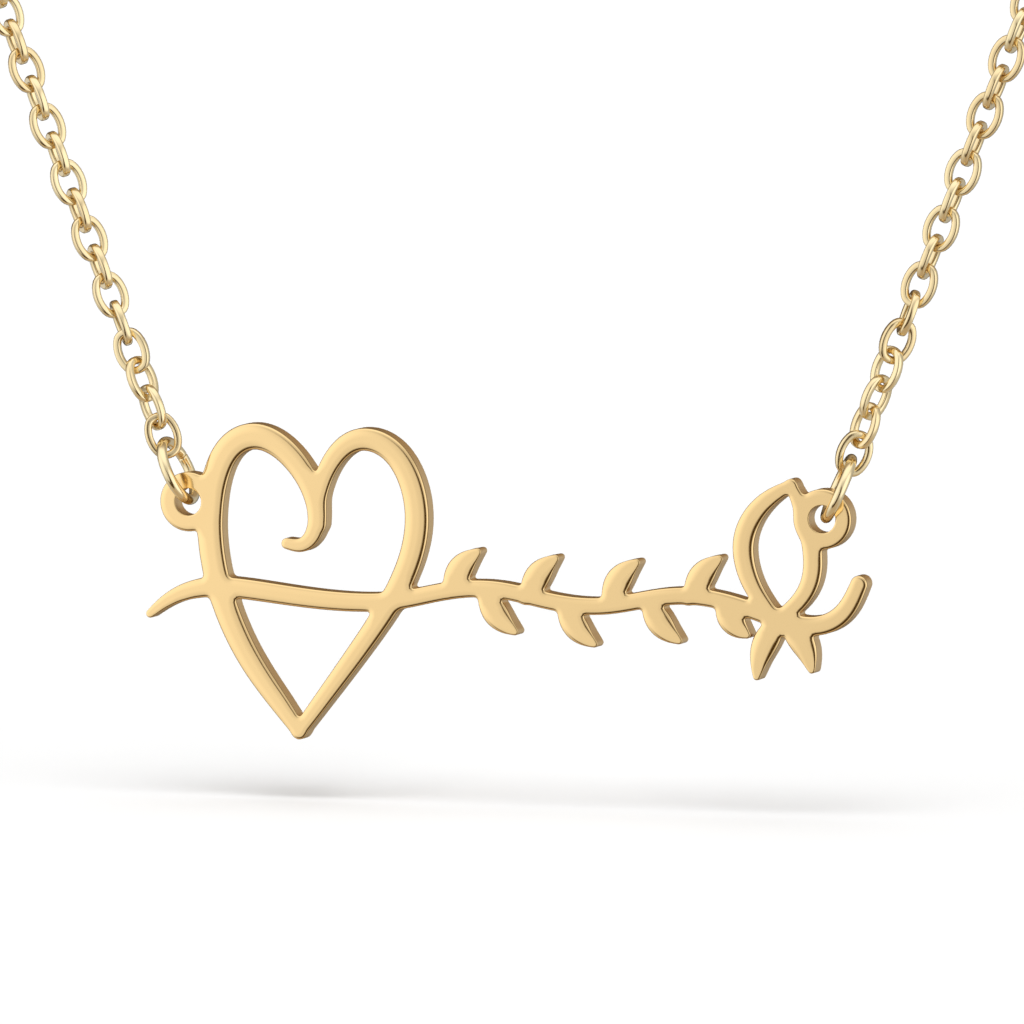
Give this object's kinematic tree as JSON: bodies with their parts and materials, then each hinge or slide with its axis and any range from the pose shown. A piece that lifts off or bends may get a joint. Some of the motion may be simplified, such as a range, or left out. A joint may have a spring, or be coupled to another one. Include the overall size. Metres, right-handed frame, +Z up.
{
  "type": "nameplate necklace",
  "caption": "Gold necklace whose flat cut-out plate hangs by two jump rings from a closed cable chain, with a barrel clasp at the nape",
  "frame": {"origin": "the middle of the neck, where the chain goes round its sides; the neck passes up through the loop", "axes": "+X to the wearer's left as seen from the front on the right, +Y from the breastbone to the nape, +Z up"},
  "size_m": [0.1021, 0.1053, 0.1188],
  "materials": {
    "plate_gold": "polished, flat face",
    "chain_gold": "polished"
  },
  "bodies": {
    "chain": {"chain_left": "chain_gold", "chain_right": "chain_gold", "clasp": "chain_gold"},
    "pendant": {"nameplate": "plate_gold", "jump_ring_left": "chain_gold", "jump_ring_right": "chain_gold"}
  },
  "joints": [
    {"name": "pendant_swing", "type": "hinge", "parent": "chain", "child": "pendant", "pos_m": [0, -0.054, -0.08747], "axis": [1, 0, 0], "range_deg": [-35, 35]}
  ]
}
